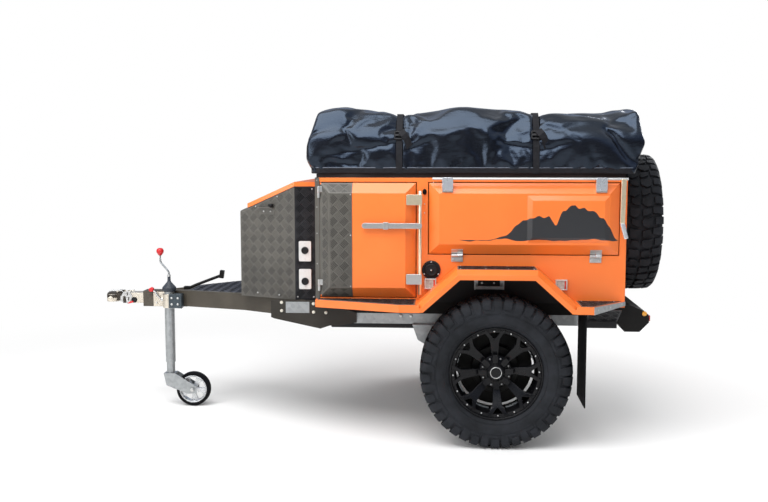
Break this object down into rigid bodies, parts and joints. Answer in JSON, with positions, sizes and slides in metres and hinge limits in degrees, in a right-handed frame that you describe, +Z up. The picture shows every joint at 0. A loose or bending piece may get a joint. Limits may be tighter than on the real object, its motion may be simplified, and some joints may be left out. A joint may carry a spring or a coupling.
{
  "type": "off-road camping trailer",
  "caption": "Single-axle off-road camping trailer with a roof tent under its cover, side hatches and doors, front toolbox, rear spare wheel, ball coupling and jockey wheel.",
  "frame": {"origin": "on the ground, at the middle of the overall length and width", "axes": "+X to the rear along the length, -X to the tow coupling, -Y to the left side, +Z up"},
  "size_m": [3.343, 1.8554, 1.765],
  "materials": {
    "orange_paint": "gloss powder coat",
    "chequer_plate": "satin black chequer plate",
    "black_steel": "satin black powder coat",
    "galvanised": "hot-dip galvanised",
    "lock_steel": "yellow zinc plate",
    "black_plastic": "matt moulded",
    "wheel_black": "satin black",
    "tyre_rubber": "matt",
    "soft_rubber": "matt",
    "jockey_rim_steel": "zinc plated",
    "lamp_lens": "clear gloss lens",
    "socket_plate": "satin",
    "tent_panel": "satin black",
    "tent_vinyl": "gloss coated cloth",
    "strap_webbing": "woven webbing"
  },
  "bodies": {
    "trailer": {"air_springs": "soft_rubber", "brake_lever": "black_steel", "chassis_rails": "galvanised", "corner_plates": "chequer_plate", "cross_members": "black_steel", "drawbar_deck": "chequer_plate", "drawbar_gussets": "black_steel", "drawbar_nose": "black_steel", "drawbar_rails": "black_steel", "fenders": "orange_paint", "filler_cap": "black_plastic", "floor": "black_steel", "front_wall": "orange_paint", "hinges": "lock_steel", "jockey_clamp": "galvanised", "jockey_crank": "black_plastic", "jockey_tube": "galvanised", "lamps": "lamp_lens", "mudflaps": "soft_rubber", "power_sockets": "socket_plate", "rear_bumper": "black_steel", "rear_skirts": "chequer_plate", "rear_wall": "orange_paint", "roof": "orange_paint", "side_wall_left": "orange_paint", "side_wall_right": "orange_paint", "sill_end_plates": "galvanised", "spare_carrier": "black_steel", "spare_rim": "wheel_black", "spare_tyre": "tyre_rubber", "suspension_brackets": "galvanised", "tent_base": "tent_panel", "tent_cover": "tent_vinyl", "tent_straps": "strap_webbing", "toolbox": "chequer_plate", "tow_coupling": "galvanised", "trailing_arms": "galvanised", "tread_strips": "chequer_plate", "water_tank": "black_plastic", "wheel_wells": "black_plastic"},
    "wheel_left": {"tyre_left": "tyre_rubber", "rim_left": "wheel_black"},
    "wheel_right": {"tyre_right": "tyre_rubber", "rim_right": "wheel_black"},
    "jockey_leg": {"jockey_stem": "galvanised"},
    "jockey_swivel": {"jockey_fork": "galvanised"},
    "jockey_wheel": {"jockey_rim": "jockey_rim_steel", "jockey_tyre": "soft_rubber"},
    "door_left": {"door_left": "orange_paint", "door_plate_left": "chequer_plate", "door_lock_left": "lock_steel"},
    "door_right": {"door_right": "orange_paint", "door_plate_right": "chequer_plate", "door_lock_right": "lock_steel"},
    "hatch_left": {"hatch_left": "orange_paint", "hatch_lock_left": "lock_steel"},
    "hatch_right": {"hatch_right": "orange_paint", "hatch_lock_right": "lock_steel"},
    "toolbox_lid": {"toolbox_lid": "orange_paint"}
  },
  "joints": [
    {"name": "wheel_left_spin", "type": "hinge", "parent": "trailer", "child": "wheel_left", "pos_m": [0.72, -0.768, 0.402], "axis": [0, 1, 0], "continuous": true},
    {"name": "wheel_right_spin", "type": "hinge", "parent": "trailer", "child": "wheel_right", "pos_m": [0.72, 0.768, 0.402], "axis": [0, 1, 0], "continuous": true},
    {"name": "jockey_lift", "type": "slide", "parent": "trailer", "child": "jockey_leg", "axis": [0, 0, 1], "range_m": [-0.19, 0.045]},
    {"name": "jockey_steer", "type": "hinge", "parent": "jockey_leg", "child": "jockey_swivel", "pos_m": [-1.243, -0.105, 0.206], "axis": [0, 0, 1], "continuous": true},
    {"name": "jockey_spin", "type": "hinge", "parent": "jockey_swivel", "child": "jockey_wheel", "pos_m": [-1.101, -0.105, 0.105], "axis": [0, 1, 0], "continuous": true},
    {"name": "door_left_hinge", "type": "hinge", "parent": "trailer", "child": "door_left", "pos_m": [-0.228, -0.728, 1.0865], "axis": [0, 0, -1], "range_deg": [0, 110]},
    {"name": "door_right_hinge", "type": "hinge", "parent": "trailer", "child": "door_right", "pos_m": [-0.228, 0.728, 1.0865], "axis": [0, 0, 1], "range_deg": [0, 110]},
    {"name": "hatch_left_hinge", "type": "hinge", "parent": "trailer", "child": "hatch_left", "pos_m": [0.861, -0.728, 1.008], "axis": [1, 0, 0], "range_deg": [0, 90]},
    {"name": "hatch_right_hinge", "type": "hinge", "parent": "trailer", "child": "hatch_right", "pos_m": [0.861, 0.728, 1.008], "axis": [-1, 0, 0], "range_deg": [0, 90]},
    {"name": "toolbox_lid_hinge", "type": "hinge", "parent": "trailer", "child": "toolbox_lid", "pos_m": [-0.26, 0, 1.396], "axis": [0, 1, 0], "range_deg": [0, 60]}
  ]
}
